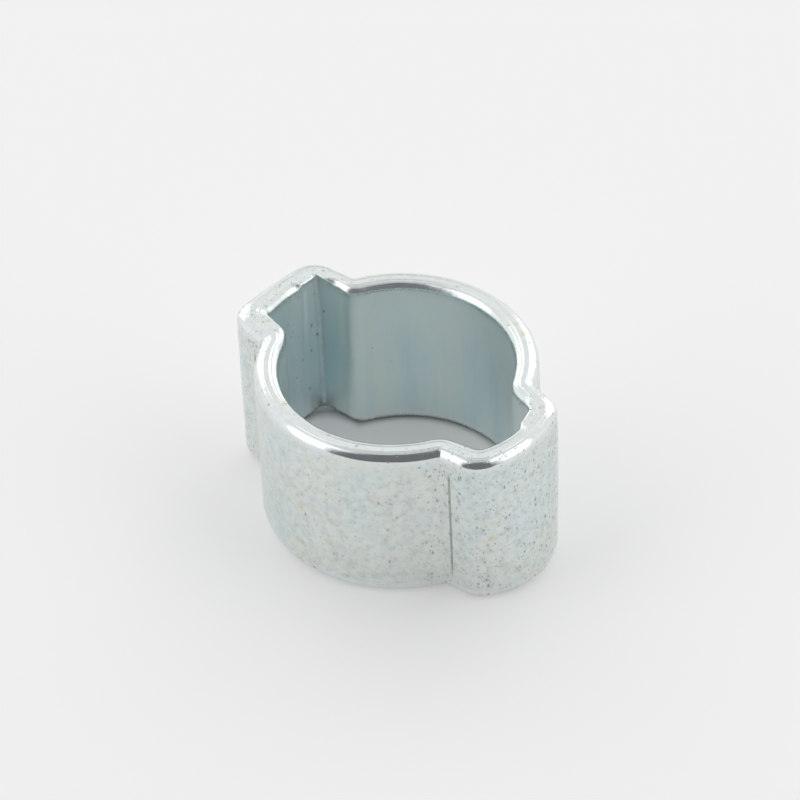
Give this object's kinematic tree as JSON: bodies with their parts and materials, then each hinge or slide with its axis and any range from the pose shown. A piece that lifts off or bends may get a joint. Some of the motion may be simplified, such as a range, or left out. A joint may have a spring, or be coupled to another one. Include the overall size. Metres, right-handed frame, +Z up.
{
  "type": "two-ear hose clip",
  "caption": "Seamless ear-type hose clip: a plated steel ring with opposite pinch ears, which are squeezed to clamp a hose on its fitting.",
  "frame": {"origin": "bore axis at the lower rim, which the clip stands on", "axes": "+Z up along the bore axis; +X from the bore axis to the round-crowned ear, -X to the flat-crowned ear"},
  "size_m": [0.0168, 0.0132, 0.0085],
  "materials": {
    "zinc_plated_steel": "bright zinc plate with clear passivation over tumbled mild steel, semi-gloss, with fine dark pits"
  },
  "bodies": {
    "root": {"hose_clip": "zinc_plated_steel"}
  },
  "joints": []
}
